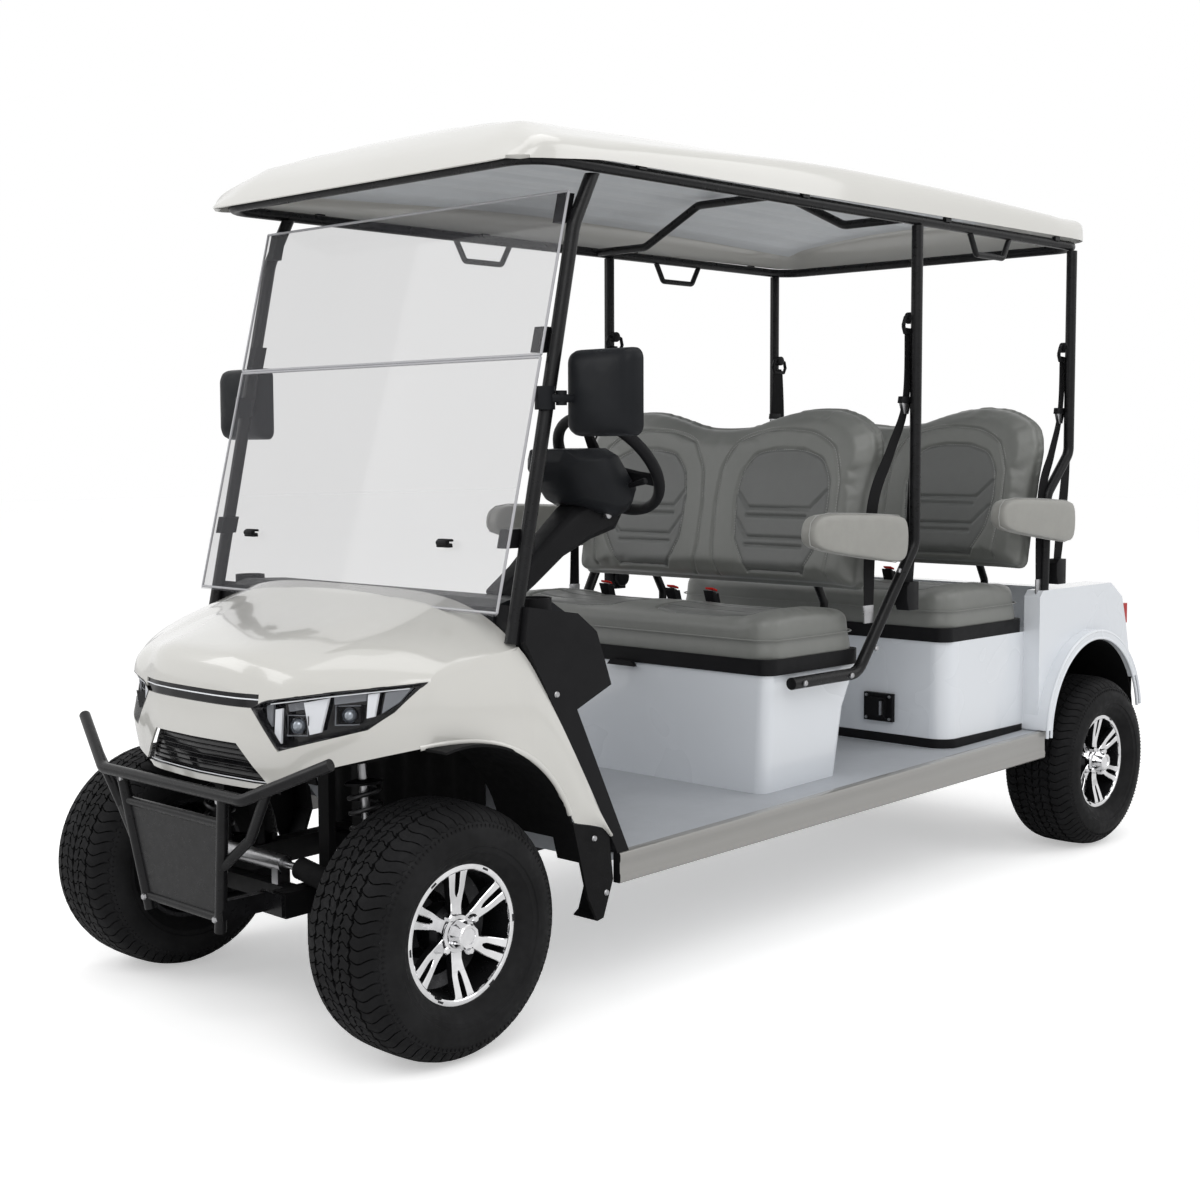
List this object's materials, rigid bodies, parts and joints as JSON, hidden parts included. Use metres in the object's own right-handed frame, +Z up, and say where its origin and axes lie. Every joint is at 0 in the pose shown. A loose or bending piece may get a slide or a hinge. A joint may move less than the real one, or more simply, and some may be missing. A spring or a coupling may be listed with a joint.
{
  "type": "golf cart",
  "caption": "Lifted electric golf cart with two forward bench seats, moulded bonnet and rear body, open sides, folding clear windscreen, roof and tubular front guard.",
  "frame": {"origin": "on the ground, under the middle of the overall length and width", "axes": "+X forward, +Y to the cart's left, +Z up"},
  "size_m": [3.594, 1.632, 2.1939],
  "materials": {
    "body_beige": "gloss",
    "roof_beige": "gloss",
    "body_white": "gloss",
    "sill_silver": "satin",
    "gloss_black": "gloss",
    "lamp_clear": "polished",
    "black_tube": "satin",
    "dash_black": "matte",
    "liner_black": "matte",
    "clear_glass": "polished",
    "clip_black": "matte",
    "pan_black": "matte",
    "seat_leather": "satin",
    "armrest_leather": "satin",
    "wheel_grip": "satin",
    "pedal_metal": "satin",
    "lamp_red": "gloss",
    "belt_webbing": "matte",
    "floor_mat": "matte",
    "chassis_black": "satin",
    "battery_case": "matte",
    "axle_alloy": "satin",
    "rod_steel": "satin",
    "spring_paint": "gloss",
    "axle_iron": "matte",
    "spring_steel": "satin",
    "tyre_rubber": "matte",
    "rim_alloy": "polished"
  },
  "bodies": {
    "chassis": {"wishbones": "chassis_black", "rack_housing": "axle_alloy", "coil_overs": "spring_paint", "rear_axle": "axle_iron", "leaf_springs": "spring_steel", "frame_rails": "chassis_black", "frame_crossmembers": "chassis_black", "floor_deck": "floor_mat", "sills": "sill_silver", "battery_pack": "battery_case", "front_cowl": "body_beige", "nose_trim": "gloss_black", "headlamps": "lamp_clear", "brush_guard": "black_tube", "dash_panel": "dash_black", "side_pods": "dash_black", "wheel_liners": "liner_black", "front_posts": "black_tube", "mid_posts": "black_tube", "rear_posts": "black_tube", "roof_rails": "black_tube", "roof_canopy": "roof_beige", "grab_handles": "black_tube", "windshield": "clear_glass", "windshield_clips": "clip_black", "seat_box_front": "body_white", "rear_body": "body_white", "backrest_front": "seat_leather", "backrest_rear": "seat_leather", "backrest_frames": "black_tube", "armrests": "armrest_leather", "mirrors": "dash_black", "steering_column": "dash_black", "pedals": "pedal_metal", "charge_port": "pan_black", "tail_lamps": "lamp_red", "rear_bumper": "liner_black", "belt_straps": "belt_webbing", "belt_hardware": "pan_black"},
    "steer_left": {"knuckle_left": "axle_iron"},
    "steer_right": {"knuckle_right": "axle_iron"},
    "wheel_front_left": {"rim_front_left": "rim_alloy", "tyre_front_left": "tyre_rubber"},
    "wheel_front_right": {"rim_front_right": "rim_alloy", "tyre_front_right": "tyre_rubber"},
    "wheel_rear_left": {"rim_rear_left": "rim_alloy", "tyre_rear_left": "tyre_rubber"},
    "wheel_rear_right": {"rim_rear_right": "rim_alloy", "tyre_rear_right": "tyre_rubber"},
    "rack": {"steering_rack": "rod_steel"},
    "steering_wheel": {"steering_wheel": "wheel_grip"},
    "lid_front": {"seat_pan_front": "pan_black", "cushion_front": "seat_leather"},
    "lid_rear": {"seat_pan_rear": "pan_black", "cushion_rear": "seat_leather"}
  },
  "joints": [
    {"name": "steer_left", "type": "hinge", "parent": "chassis", "child": "steer_left", "pos_m": [1.443, 0.43, 0.292], "axis": [0, 0, 1], "range_deg": [-30, 30]},
    {"name": "steer_right", "type": "hinge", "parent": "chassis", "child": "steer_right", "pos_m": [1.443, -0.43, 0.292], "axis": [0, 0, 1], "range_deg": [-30, 30]},
    {"name": "rack_slide", "type": "slide", "parent": "chassis", "child": "rack", "axis": [0, 1, 0], "range_m": [-0.063, 0.063]},
    {"name": "steering_wheel", "type": "hinge", "parent": "chassis", "child": "steering_wheel", "pos_m": [0.643, 0.33, 1.33], "axis": [-0.7745, 0, 0.6325], "range_deg": [-360, 360]},
    {"name": "wheel_front_left", "type": "hinge", "parent": "steer_left", "child": "wheel_front_left", "pos_m": [1.443, 0.54, 0.292], "axis": [0, 1, 0], "continuous": true},
    {"name": "wheel_front_right", "type": "hinge", "parent": "steer_right", "child": "wheel_front_right", "pos_m": [1.443, -0.54, 0.292], "axis": [0, 1, 0], "continuous": true},
    {"name": "wheel_rear_left", "type": "hinge", "parent": "chassis", "child": "wheel_rear_left", "pos_m": [-1.473, 0.561, 0.292], "axis": [0, 1, 0], "continuous": true},
    {"name": "wheel_rear_right", "type": "hinge", "parent": "chassis", "child": "wheel_rear_right", "pos_m": [-1.473, -0.561, 0.292], "axis": [0, 1, 0], "continuous": true},
    {"name": "lid_front", "type": "hinge", "parent": "chassis", "child": "lid_front", "pos_m": [-0.199, 0, 0.754], "axis": [0, -1, 0], "range_deg": [0, 32]},
    {"name": "lid_rear", "type": "hinge", "parent": "chassis", "child": "lid_rear", "pos_m": [-1.129, 0, 0.772], "axis": [0, -1, 0], "range_deg": [0, 32]}
  ],
  "couplings": [
    {"joint": "steer_right", "follows": "steer_left", "ratio": 1},
    {"joint": "rack_slide", "follows": "steer_left", "m_per_rad": 0.12},
    {"joint": "steering_wheel", "follows": "steer_left", "ratio": 12}
  ]
}
